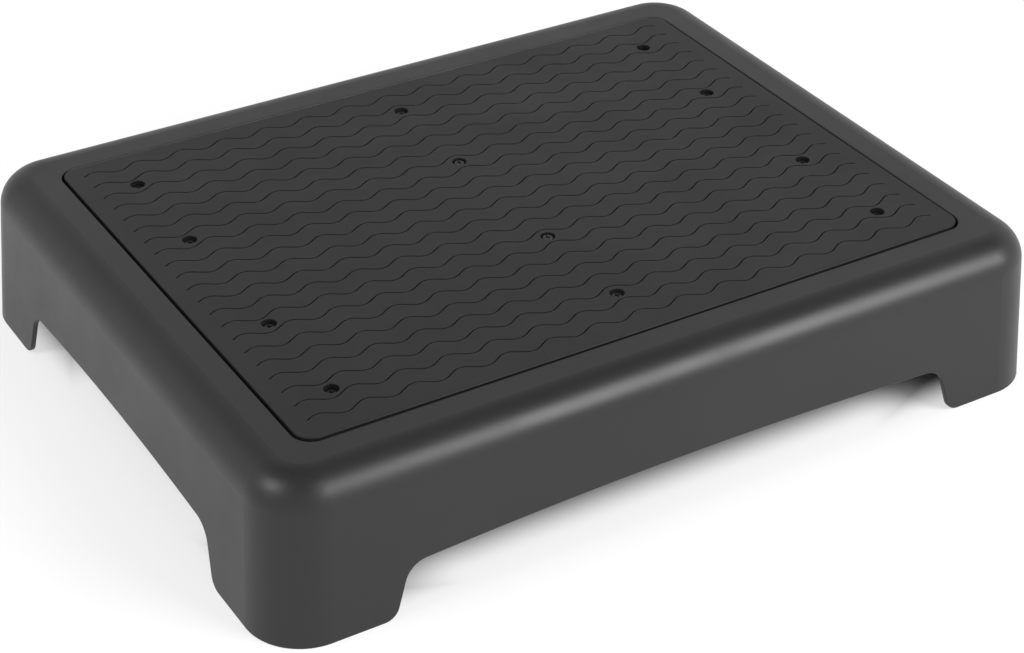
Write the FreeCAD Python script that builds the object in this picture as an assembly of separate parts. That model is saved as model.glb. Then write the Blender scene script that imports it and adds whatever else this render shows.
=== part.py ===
import FreeCAD, Part
import math
import os

# Low platform step stool, in millimetres.
# X runs along the long side, Y towards the back, Z up. The origin is on the floor, under the tread's centre.

V = FreeCAD.Vector
UP = V(0, 0, 1)

# Moulded base
LENGTH = 546.0
WIDTH = 423.0
RIM_HEIGHT = 104.3
WALL = 3.0
WALL_DRAFT = math.radians(3.8)
CORNER_RADIUS = 35.5
TOP_EDGE_RADIUS = 21.0
LOWER_EDGE_RADIUS = 0.8

# Arched openings between the four feet
FRONT_FOOT_LENGTH = 75.5
SIDE_FOOT_LENGTH = 77.0
ARCH_HEIGHT = 38.8
FRONT_ARCH_CROWN = 5.6
SIDE_ARCH_CROWN = 4.0
ARCH_LEAN = math.radians(17.0)
ARCH_CORNER_RADIUS = 15.0
TOE_RADIUS = 10.0

# Tread plate, its shallow dish and the recess that it lies in
TREAD_LENGTH = 459.4
TREAD_WIDTH = 335.4
TREAD_CORNER_RADIUS = 10.7
TREAD_THICKNESS = 7.0
TREAD_EDGE_RADIUS = 0.5
TREAD_PROUD = 0.9
TREAD_GAP = 1.7
DISH_LENGTH = 490.0
DISH_WIDTH = 370.0
DISH_DEPTH = 2.8
RECESS_EDGE_RADIUS = 0.8
DECK = 3.0

# Wavy grip grooves along the tread plate
GROOVE_COUNT = 21
GROOVE_PITCH = 15.25
GROOVE_SHIFT = 2.0
GROOVE_WIDTH = 1.9
GROOVE_DEPTH = 2.0
HALF_WAVES = 29
HALF_WAVE_LENGTH = 15.07
WAVE_HEIGHT = 3.0
WAVE_SLOPE = math.radians(31.0)

# Screws that hold the tread plate, and their holes and bosses
SCREW_COLUMNS_X = (-192.5, 0.0, 192.5)
SCREW_ROWS_Y = (-130.0, -53.5, 53.5, 130.0)
MIDDLE_COLUMN_SHIFT = 4.0
HEAD_DROP = 3.3
HEAD_RADIUS = 3.3
HEAD_THICKNESS = 1.9
HEAD_EDGE_RADIUS = 0.7
SHANK_RADIUS = 2.0
SHANK_LENGTH = 9.5
POINT_LENGTH = 2.5
CROSS_SPAN = 4.2
CROSS_WIDTH = 1.1
CROSS_DEPTH = 1.3
COUNTERBORE_RADIUS = 4.7
HOLE_RADIUS = 2.3
HOLE_FLOOR = 1.6
BOSS_RADIUS = 6.0
BOSS_LENGTH = 10.0

# Ribs under the deck
RIB_THICKNESS = 2.5
RIB_HEIGHT = 8.0
RIB_COLUMNS_X = (-192.5, -96.25, 0.0, 96.25, 192.5)

# Heights that follow from the sizes above
TREAD_TOP = RIM_HEIGHT + TREAD_PROUD
TREAD_UNDERSIDE = TREAD_TOP - TREAD_THICKNESS
DECK_UNDERSIDE = TREAD_UNDERSIDE - DECK
HEAD_TOP = TREAD_TOP - HEAD_DROP
HEAD_UNDERSIDE = HEAD_TOP - HEAD_THICKNESS

# How far a cutting shape runs past what it cuts
BEYOND = 20.0

# Allowances for picking edges by their place: rounding error, and a small step clear of a surface
ROUNDING = 0.01
STEP_CLEAR = 1.0


def line(start, end):
    return Part.LineSegment(start, end).toShape()


def arc(start, middle, end):
    return Part.Arc(start, middle, end).toShape()


def rounded_rectangle(length, width, radius, z):
    """Closed wire of a rectangle with round corners, centred on the Z axis."""
    corners = []
    for side_x, side_y, start in ((1, 1, 0), (-1, 1, 90), (-1, -1, 180), (1, -1, 270)):
        centre = V(side_x * (length / 2 - radius), side_y * (width / 2 - radius), z)
        corners.append(Part.makeCircle(radius, centre, UP, start, start + 90))
    edges = []
    for corner, following in zip(corners, corners[1:] + corners[:1]):
        edges.append(corner)
        edges.append(line(corner.lastVertex().Point, following.firstVertex().Point))
    return Part.Wire(edges)


def rounded_slab(length, width, radius, bottom, top):
    """Flat slab with upright sides and round corners."""
    return Part.Face(rounded_rectangle(length, width, radius, bottom)).extrude(UP * (top - bottom))


def edges_within(shape, low, high):
    """Edges that lie wholly between two heights."""
    return [edge for edge in shape.Edges if edge.BoundBox.ZMin > low and edge.BoundBox.ZMax < high]


def edges_at(shape, z):
    return edges_within(shape, z - ROUNDING, z + ROUNDING)


def screw_places():
    """Centres of the screws, column by column from the left, each from the front to the back."""
    places = []
    for x in SCREW_COLUMNS_X:
        shift = MIDDLE_COLUMN_SHIFT if x == 0 else 0
        places += [V(x, y + shift, 0) for y in SCREW_ROWS_Y]
    return places


def upright_cylinders(radius, bottom, top):
    """One upright cylinder at each screw."""
    return [Part.makeCylinder(radius, top - bottom, place + UP * bottom) for place in screw_places()]


def drafted_prism(half_width, depth, top):
    """Prism along Y whose two sides lean inwards from the floor up to its top."""
    shoulder = half_width - top * math.tan(WALL_DRAFT)
    y = -depth / 2
    section = [V(half_width, y, 0), V(shoulder, y, top), V(-shoulder, y, top), V(-half_width, y, 0)]
    return Part.Face(Part.makePolygon(section + section[:1])).extrude(V(0, depth, 0))


def drafted_block(inset, top):
    """Outer form of the base, moved inwards by inset: leaning walls, round corners and a round top edge."""
    block = drafted_prism(LENGTH / 2 - inset, WIDTH, top)
    across = drafted_prism(WIDTH / 2 - inset, LENGTH, top)
    across.rotate(V(0, 0, 0), UP, 90)
    block = block.common(across)
    upright_edges = [edge for edge in block.Edges if edge.BoundBox.ZLength > STEP_CLEAR]
    block = block.makeFillet(CORNER_RADIUS - inset, upright_edges)
    return block.makeFillet(TOP_EDGE_RADIUS - inset, edges_at(block, top))


def arch_cutter(half_width, crown, depth):
    """Arched opening through two opposite walls, along Y, with leaning sides and a crowned top."""
    shoulder_height = ARCH_HEIGHT - crown
    shoulder = half_width - shoulder_height * math.tan(ARCH_LEAN)
    mouth = half_width + BEYOND * math.tan(ARCH_LEAN)
    y = -depth / 2
    right = [V(mouth, y, -BEYOND), V(shoulder, y, shoulder_height)]
    left = [V(-shoulder, y, shoulder_height), V(-mouth, y, -BEYOND)]
    crown_arc = arc(right[1], V(0, y, ARCH_HEIGHT), left[0])
    outline = [line(*right), crown_arc, line(*left), line(left[1], right[0])]
    prism = Part.Face(Part.Wire(outline)).extrude(V(0, depth, 0))
    shoulders = edges_at(prism, shoulder_height)
    corners = [edge for edge in shoulders if edge.BoundBox.YLength > depth - STEP_CLEAR]
    return prism.makeFillet(ARCH_CORNER_RADIUS, corners)


def recess_cutter():
    """Space for the tread plate and the narrow gap around it, open at the top."""
    return rounded_slab(TREAD_LENGTH + 2 * TREAD_GAP, TREAD_WIDTH + 2 * TREAD_GAP,
                        TREAD_CORNER_RADIUS + TREAD_GAP, TREAD_UNDERSIDE, RIM_HEIGHT + BEYOND)


def lies_in(block, edge):
    """True when an edge's middle is inside a block or on its surface."""
    middle = edge.valueAt((edge.FirstParameter + edge.LastParameter) / 2)
    return block.isInside(middle, ROUNDING, True)


def outer_skin():
    """Hollow base without its deck: drafted walls, the rim around the recess and an arch in each side."""
    block = drafted_block(0, RIM_HEIGHT).cut(recess_cutter())
    recess_bounds = recess_cutter().BoundBox
    recess_bounds.enlarge(STEP_CLEAR)
    recess_edges = [edge for edge in edges_at(block, RIM_HEIGHT) if recess_bounds.isInside(edge.BoundBox)]
    block = block.makeFillet(RECESS_EDGE_RADIUS, recess_edges)

    front_arch = arch_cutter(LENGTH / 2 - FRONT_FOOT_LENGTH, FRONT_ARCH_CROWN, WIDTH + BEYOND)
    side_arch = arch_cutter(WIDTH / 2 - SIDE_FOOT_LENGTH, SIDE_ARCH_CROWN, LENGTH + BEYOND)
    side_arch.rotate(V(0, 0, 0), UP, 90)
    block = block.cut([front_arch, side_arch])
    core = drafted_block(LOWER_EDGE_RADIUS, RIM_HEIGHT - WALL)
    toes = [edge for edge in edges_at(block, 0) if lies_in(core, edge)]
    block = block.makeFillet(TOE_RADIUS, toes)
    low_edges = edges_within(block, -STEP_CLEAR, ARCH_HEIGHT + STEP_CLEAR)
    wall_edges = [edge for edge in low_edges if not lies_in(core, edge)]
    block = block.makeFillet(LOWER_EDGE_RADIUS, wall_edges)
    return block.cut(drafted_block(WALL, RIM_HEIGHT - WALL))


def tray():
    """Floor and upright sides of the recess, still filled where the tread plate goes."""
    around = TREAD_GAP + WALL
    return rounded_slab(TREAD_LENGTH + 2 * around, TREAD_WIDTH + 2 * around,
                        TREAD_CORNER_RADIUS + around, DECK_UNDERSIDE, RIM_HEIGHT - WALL / 2)


def stiffening():
    """Ribs in a grid and a boss for each screw, under the deck and inside the walls."""
    bottom = DECK_UNDERSIDE - RIB_HEIGHT
    height = RIM_HEIGHT - bottom
    half = RIB_THICKNESS / 2
    pieces = []
    for x in RIB_COLUMNS_X:
        pieces.append(Part.makeBox(RIB_THICKNESS, WIDTH, height, V(x - half, -WIDTH / 2, bottom)))
    for y in SCREW_ROWS_Y:
        pieces.append(Part.makeBox(LENGTH, RIB_THICKNESS, height, V(-LENGTH / 2, y - half, bottom)))
    pieces += upright_cylinders(BOSS_RADIUS, DECK_UNDERSIDE - BOSS_LENGTH, TREAD_UNDERSIDE)
    return pieces[0].multiFuse(pieces[1:]).common(drafted_block(WALL, RIM_HEIGHT - WALL))


def base():
    """One-piece moulded base."""
    body = outer_skin().multiFuse([tray(), stiffening()]).removeSplitter()
    boss_bottom = DECK_UNDERSIDE - BOSS_LENGTH
    pilot_holes = upright_cylinders(HOLE_RADIUS, boss_bottom + HOLE_FLOOR, TREAD_TOP)
    return body.cut([recess_cutter()] + pilot_holes).removeSplitter()


def dish_cutter():
    """Space above the tread's top, whose underside is a shallow dish shaped like a parabola both ways."""
    surface = Part.BezierSurface()
    surface.increase(2, 2)
    for row, x in enumerate((-DISH_LENGTH / 2, 0, DISH_LENGTH / 2), start=1):
        for column, y in enumerate((-DISH_WIDTH / 2, 0, DISH_WIDTH / 2), start=1):
            drop = 4 * DISH_DEPTH if x == y == 0 else 0
            surface.setPole(row, column, V(x, y, TREAD_TOP - drop))
    return surface.toShape().extrude(UP * BEYOND)


def wave_line():
    """Centre line of one groove along X: arcs at the crests and troughs, joined by straight slopes."""
    quarter = HALF_WAVE_LENGTH / 2
    slope = math.tan(WAVE_SLOPE)
    radius = (quarter * slope - WAVE_HEIGHT) / (1 / math.cos(WAVE_SLOPE) - 1)
    reach = radius * math.sin(WAVE_SLOPE)
    shoulder = WAVE_HEIGHT - radius * (1 - math.cos(WAVE_SLOPE))
    start_x = -HALF_WAVES * quarter
    last = V(start_x, 0, 0)
    edges = []
    for index in range(HALF_WAVES):
        side = (-1) ** index
        crest_x = start_x + (2 * index + 1) * quarter
        begin, end = V(crest_x - reach, side * shoulder, 0), V(crest_x + reach, side * shoulder, 0)
        edges += [line(last, begin), arc(begin, V(crest_x, side * WAVE_HEIGHT, 0), end)]
        last = end
    edges.append(line(last, V(-start_x, 0, 0)))
    return Part.Wire(edges)


def groove_cutters(dish):
    """Wavy grooves whose floors follow the dish."""
    lowered_dish = dish.translated(UP * -GROOVE_DEPTH)
    bottom = TREAD_TOP - DISH_DEPTH - 2 * GROOVE_DEPTH
    outline = wave_line().makeOffset2D(GROOVE_WIDTH / 2, fill=True, openResult=True)
    strip = outline.extrude(UP * (TREAD_TOP + STEP_CLEAR - bottom))
    cutters = []
    for index in range(GROOVE_COUNT):
        y = GROOVE_SHIFT + (index - (GROOVE_COUNT - 1) / 2) * GROOVE_PITCH
        cutters.append(strip.translated(V(0, y, bottom)).common(lowered_dish))
    return Part.makeCompound(cutters)


def tread():
    """Tread plate: dished on top, with wavy grooves and counterbored screw holes."""
    plate = rounded_slab(TREAD_LENGTH, TREAD_WIDTH, TREAD_CORNER_RADIUS, TREAD_UNDERSIDE, TREAD_TOP)
    dish = dish_cutter()
    plate = plate.cut(dish)
    top_edges = edges_within(plate, TREAD_TOP - DISH_DEPTH, TREAD_TOP + STEP_CLEAR)
    plate = plate.makeFillet(TREAD_EDGE_RADIUS, top_edges)
    holes = upright_cylinders(HOLE_RADIUS, TREAD_UNDERSIDE - STEP_CLEAR, TREAD_TOP)
    counterbores = upright_cylinders(COUNTERBORE_RADIUS, HEAD_UNDERSIDE, TREAD_TOP + STEP_CLEAR)
    return plate.cut(groove_cutters(dish)).cut(holes + counterbores)


def screw(place):
    """Cross-head screw, seated on the floor of its counterbore."""
    head = Part.makeCylinder(HEAD_RADIUS, HEAD_THICKNESS, place + UP * HEAD_UNDERSIDE)
    head = head.makeFillet(HEAD_EDGE_RADIUS, edges_at(head, HEAD_TOP))
    shank_bottom = HEAD_UNDERSIDE - SHANK_LENGTH
    shank = Part.makeCylinder(SHANK_RADIUS, SHANK_LENGTH, place + UP * shank_bottom)
    point = Part.makeCone(0, SHANK_RADIUS, POINT_LENGTH, place + UP * (shank_bottom - POINT_LENGTH))
    body = head.multiFuse([shank, point]).removeSplitter()
    corner = V(CROSS_SPAN / 2, CROSS_WIDTH / 2, CROSS_DEPTH)
    arm = Part.makeBox(CROSS_SPAN, CROSS_WIDTH, CROSS_DEPTH + STEP_CLEAR, place + UP * HEAD_TOP - corner)
    other_arm = arm.copy()
    other_arm.rotate(place, UP, 90)
    return body.cut([arm, other_arm])


def main():
    nodes = {"step_base": base(), "tread_plate": tread()}
    for number, place in enumerate(screw_places(), start=1):
        nodes[f"tread_screw_{number:02d}"] = screw(place)
    os.makedirs("parts", exist_ok=True)
    for name, shape in nodes.items():
        shape.exportStep(f"parts/{name}.step")


main()
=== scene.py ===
import math

import bpy
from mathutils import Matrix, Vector


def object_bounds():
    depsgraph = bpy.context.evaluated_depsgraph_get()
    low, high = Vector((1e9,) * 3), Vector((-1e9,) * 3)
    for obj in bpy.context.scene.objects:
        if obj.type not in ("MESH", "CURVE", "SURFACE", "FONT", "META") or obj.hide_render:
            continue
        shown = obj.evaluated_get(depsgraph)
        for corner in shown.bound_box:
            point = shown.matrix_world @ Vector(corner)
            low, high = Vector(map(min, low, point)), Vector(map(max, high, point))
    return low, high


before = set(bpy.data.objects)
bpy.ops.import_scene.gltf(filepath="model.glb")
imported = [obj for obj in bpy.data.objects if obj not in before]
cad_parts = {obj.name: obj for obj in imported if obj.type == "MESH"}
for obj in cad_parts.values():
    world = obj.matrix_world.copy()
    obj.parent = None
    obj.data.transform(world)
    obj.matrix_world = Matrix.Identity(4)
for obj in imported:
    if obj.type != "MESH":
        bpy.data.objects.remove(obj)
cad_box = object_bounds()

# Lengths are in metres unless a comment says otherwise.

# Camera: where it stands, what it looks at, its tilt about the line of sight in degrees,
# and its lens and sensor width in mm
CAMERA_PLACE = Vector((-0.6835, -1.0975, 0.8595))
CAMERA_TARGET = Vector((-0.0313, -0.0601, 0.0526))
CAMERA_TILT = 1.15
CAMERA_LENS = 83.75
CAMERA_SENSOR = 36.0

# Soft lights: name, place, target, width, height, brightness of the panel's surface,
# and whether reflections show it
PANELS = (
    ("front_softbox", (1.1, -1.8, 1.4), (0.0, -0.1, 0.05), 1.3, 1.3, 10.5, True),
    ("left_softbox", (-2.0, 0.05, 1.65), (0.0, 0.0, 0.05), 0.8, 0.8, 11.5, True),
    ("overhead_panel", (0.0, 0.3, 3.2), (0.0, 0.0, 0.0), 3.6, 3.6, 0.5, False),
)

# Brightness of the studio walls by height: sine of the elevation, brightness
WALL_TONES = ((0.0, 0.8), (0.35, 0.88), (0.56, 0.74), (0.75, 0.24), (1.0, 0.18))

# Floor: size, darkest and lightest grey, scale of the change between them, roughness and specular level
FLOOR_SIZE = 24.0
FLOOR_GREYS = (0.31, 0.33)
FLOOR_CLOUD_SCALE = 3.0
FLOOR_ROUGHNESS = 0.85
FLOOR_SPECULAR = 0.2

# Painted glow of the floor, which stands in for light on it: its strength, and distances past the stool's
# outline, negative inside it.
# It fades out into painted shadow under the arches and at the walls, and stays low as painted shade in the
# corners that the feet enclose.
GLOW = 0.66
UNDER_ARCHES = (-0.052, -0.016)
AT_WALLS = (-0.035, -0.006)
IN_CORNERS = (-0.13, -0.06)

# The stretch of a noise texture's values that holds nearly all of its variation
NOISE_SPAN = (0.3, 0.7)

# Both plastics: clouds of tone with a share of fine speckle, smears of sheen, and faint sink marks
CLOUD_SCALE = 7.0
CLOUD_DETAIL = 4.0
SPECKLE_SHARE = 0.25
SPECKLE_DETAIL = 2.0
SMEAR_SCALE = 16.0
SMEAR_DETAIL = 5.0
FINE_ROUGHNESS = 0.6
SINK_SCALE = 14.0
SINK_DETAIL = 1.0
SINK_HEIGHT = 0.0004
SINK_STRENGTH = 0.25
GRAIN_STRENGTH = 0.5
EDGE_SAMPLES = 6

# Each plastic: greys and roughness from lowest to highest, grain, specular level,
# and the radius that its edges seem to have
BASE_PLASTIC = {"greys": (0.010, 0.014), "roughness": (0.37, 0.45), "grain_scale": 1100.0,
                "grain_height": 0.00005, "specular": 0.43, "edge_radius": 0.0003}
TREAD_PLASTIC = {"greys": (0.009, 0.013), "roughness": (0.40, 0.50), "grain_scale": 1300.0,
                 "grain_height": 0.00007, "specular": 0.28, "edge_radius": 0.0005}

# Screw steel: black coating with rubbed and dusty spots
RUB_SCALE = 420.0
RUB_DETAIL = 4.0
RUB_ROUGHNESS = 0.65
RUB_GREYS = ((0.35, 0.012), (0.6, 0.02), (0.75, 0.05))
STEEL_ROUGHNESS = (0.32, 0.5)
COATING_SCALE = 1500.0
COATING_DETAIL = 2.0
COATING_HEIGHT = 0.00005
COATING_STRENGTH = 0.3


def new_material(name):
    """New node material, with its node tree and its Principled shader."""
    material = bpy.data.materials.new(name)
    material.use_nodes = True
    tree = material.node_tree
    return material, tree, tree.nodes["Principled BSDF"]


def add(tree, kind, inputs=None, **settings):
    """Adds a node. inputs maps socket names to values, or to the output sockets that feed them."""
    node = tree.nodes.new(kind)
    for key, value in settings.items():
        setattr(node, key, value)
    for key, value in (inputs or {}).items():
        if isinstance(value, bpy.types.NodeSocket):
            tree.links.new(value, node.inputs[key])
        else:
            node.inputs[key].default_value = value
    return node


def ramp(tree, factor, stops):
    """Colour ramp with grey stops given as (position, grey)."""
    node = add(tree, "ShaderNodeValToRGB", {"Fac": factor})
    elements = node.color_ramp.elements
    while len(elements) < len(stops):
        elements.new(0.5)
    for element, (position, grey) in zip(elements, stops):
        element.position = position
        element.color = (grey, grey, grey, 1.0)
    return node.outputs["Color"]


def spread_stops(greys):
    """Ramp stops that spread a darkest and a lightest grey over a noise texture's variation."""
    return tuple(zip(NOISE_SPAN, greys))


def noise(tree, place, scale, detail=3.0, roughness=0.5):
    """Value of a noise texture."""
    node = add(tree, "ShaderNodeTexNoise",
               {"Vector": place, "Scale": scale, "Detail": detail, "Roughness": roughness})
    return node.outputs["Fac"]


def change(tree, value, span, ends=(0.0, 1.0), kind="SMOOTHSTEP"):
    """Goes from the first of ends to the second while value crosses span."""
    node = add(tree, "ShaderNodeMapRange",
               {"Value": value, "From Min": span[0], "From Max": span[1],
                "To Min": ends[0], "To Max": ends[1]},
               interpolation_type=kind)
    return node.outputs["Result"]


def maths(tree, operation, first, second=0.0):
    """Result of one operation on two values."""
    return add(tree, "ShaderNodeMath", {0: first, 1: second}, operation=operation).outputs["Value"]


def object_place(tree):
    """Place on the object, in its own coordinates."""
    return add(tree, "ShaderNodeTexCoord").outputs["Object"]


def moulded_plastic(name, greys, roughness, grain_scale, grain_height, specular, edge_radius):
    """Moulded plastic: cloudy grey, patchy sheen, spark-eroded grain, sink marks and softened edges."""
    material, tree, shader = new_material(name)
    place = object_place(tree)
    clouds = noise(tree, place, CLOUD_SCALE, CLOUD_DETAIL)
    speckle = noise(tree, place, grain_scale, SPECKLE_DETAIL, FINE_ROUGHNESS)
    blend = add(tree, "ShaderNodeMix", {"Factor": SPECKLE_SHARE, "A": clouds, "B": speckle})
    tree.links.new(ramp(tree, blend.outputs["Result"], spread_stops(greys)), shader.inputs["Base Color"])
    smears = noise(tree, place, SMEAR_SCALE, SMEAR_DETAIL, FINE_ROUGHNESS)
    tree.links.new(change(tree, smears, NOISE_SPAN, roughness, "LINEAR"), shader.inputs["Roughness"])
    softened_edges = add(tree, "ShaderNodeBevel", {"Radius": edge_radius}, samples=EDGE_SAMPLES)
    sink_marks = add(tree, "ShaderNodeBump",
                     {"Strength": SINK_STRENGTH, "Distance": SINK_HEIGHT,
                      "Height": noise(tree, place, SINK_SCALE, SINK_DETAIL),
                      "Normal": softened_edges.outputs["Normal"]})
    pits = add(tree, "ShaderNodeTexVoronoi", {"Vector": place, "Scale": grain_scale}, feature="SMOOTH_F1")
    grain = add(tree, "ShaderNodeBump",
                {"Strength": GRAIN_STRENGTH, "Distance": grain_height, "Height": pits.outputs["Distance"],
                 "Normal": sink_marks.outputs["Normal"]})
    tree.links.new(grain.outputs["Normal"], shader.inputs["Normal"])
    shader.inputs["Specular IOR Level"].default_value = specular
    return material


def coated_steel(name):
    """Black coated screw steel, a little rubbed and dusty."""
    material, tree, shader = new_material(name)
    place = object_place(tree)
    rubbed = noise(tree, place, RUB_SCALE, RUB_DETAIL, RUB_ROUGHNESS)
    tree.links.new(ramp(tree, rubbed, RUB_GREYS), shader.inputs["Base Color"])
    tree.links.new(change(tree, rubbed, NOISE_SPAN, STEEL_ROUGHNESS, "LINEAR"), shader.inputs["Roughness"])
    coating = add(tree, "ShaderNodeBump",
                  {"Strength": COATING_STRENGTH, "Distance": COATING_HEIGHT,
                   "Height": noise(tree, place, COATING_SCALE, COATING_DETAIL)})
    tree.links.new(coating.outputs["Normal"], shader.inputs["Normal"])
    return material


def dress_nodes():
    """Gives every CAD node its material."""
    plastics = {"step_base": moulded_plastic("base_plastic", **BASE_PLASTIC),
                "tread_plate": moulded_plastic("tread_plastic", **TREAD_PLASTIC)}
    steel = coated_steel("screw_steel")
    for name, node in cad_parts.items():
        node.data.materials.clear()
        node.data.materials.append(plastics.get(name, steel))


def painted_glow_and_shadow(tree, place):
    """Strength of the floor's painted glow at a place on the floor, with painted shadow under and beside
    the stool.
    """
    axes = add(tree, "ShaderNodeSeparateXYZ", {"Vector": place})
    past_x, past_y = (maths(tree, "SUBTRACT", maths(tree, "ABSOLUTE", axes.outputs[axis]), reach)
                      for axis, reach in zip("XY", cad_box[1]))
    outside = maths(tree, "MAXIMUM", past_x, past_y)
    # Painted shade: the glow stays low in the corners that the feet enclose.
    painted_corner_shade = change(tree, maths(tree, "MINIMUM", past_x, past_y), IN_CORNERS, (1.0, 0.0))
    # Painted shadow: the glow fades out under the arches.
    glow_with_painted_shadow = maths(tree, "MULTIPLY", change(tree, outside, UNDER_ARCHES), painted_corner_shade)
    glow = maths(tree, "MAXIMUM", glow_with_painted_shadow, change(tree, outside, AT_WALLS))
    return maths(tree, "MULTIPLY", glow, GLOW)


def make_floor():
    """Plain pale floor with a painted glow, which fades into painted shadow under and beside the stool."""
    material, tree, shader = new_material("floor_paper")
    place = object_place(tree)
    greys = ramp(tree, noise(tree, place, FLOOR_CLOUD_SCALE), spread_stops(FLOOR_GREYS))
    tree.links.new(greys, shader.inputs["Base Color"])
    shader.inputs["Roughness"].default_value = FLOOR_ROUGHNESS
    shader.inputs["Specular IOR Level"].default_value = FLOOR_SPECULAR
    shader.inputs["Emission Color"].default_value = (1.0, 1.0, 1.0, 1.0)
    tree.links.new(painted_glow_and_shadow(tree, place), shader.inputs["Emission Strength"])
    bpy.ops.mesh.primitive_plane_add(size=FLOOR_SIZE)
    floor = bpy.context.object
    floor.name = "floor"
    floor.data.materials.append(material)


def make_walls():
    """Studio walls as the world: bright low down, darker overhead."""
    world = bpy.data.worlds.new("studio")
    world.use_nodes = True
    tree = world.node_tree
    direction = add(tree, "ShaderNodeTexCoord").outputs["Generated"]
    height = add(tree, "ShaderNodeSeparateXYZ", {"Vector": direction}).outputs["Z"]
    tree.links.new(ramp(tree, height, WALL_TONES), tree.nodes["Background"].inputs["Color"])
    bpy.context.scene.world = world


def make_panels():
    """Soft lights, each a rectangle that faces its target."""
    for name, place, target, width, height, brightness, reflected in PANELS:
        light = bpy.data.lights.new(name, "AREA")
        light.shape = "RECTANGLE"
        light.size = width
        light.size_y = height
        light.energy = brightness * math.pi * width * height
        panel = bpy.data.objects.new(name, light)
        panel.location = place
        panel.rotation_euler = (Vector(target) - Vector(place)).to_track_quat("-Z", "Y").to_euler()
        panel.visible_glossy = reflected
        bpy.context.scene.collection.objects.link(panel)


def make_camera():
    """Camera that looks down on the front left corner."""
    data = bpy.data.cameras.new("camera")
    data.lens = CAMERA_LENS
    data.sensor_width = CAMERA_SENSOR
    camera = bpy.data.objects.new("camera", data)
    camera.location = CAMERA_PLACE
    look = (CAMERA_TARGET - CAMERA_PLACE).to_track_quat("-Z", "Y").to_matrix().to_4x4()
    camera.rotation_euler = (look @ look.Rotation(math.radians(CAMERA_TILT), 4, "Z")).to_euler()
    bpy.context.scene.collection.objects.link(camera)
    bpy.context.scene.camera = camera


dress_nodes()
make_floor()
make_walls()
make_panels()
make_camera()
bpy.context.scene.view_settings.view_transform = "Standard"
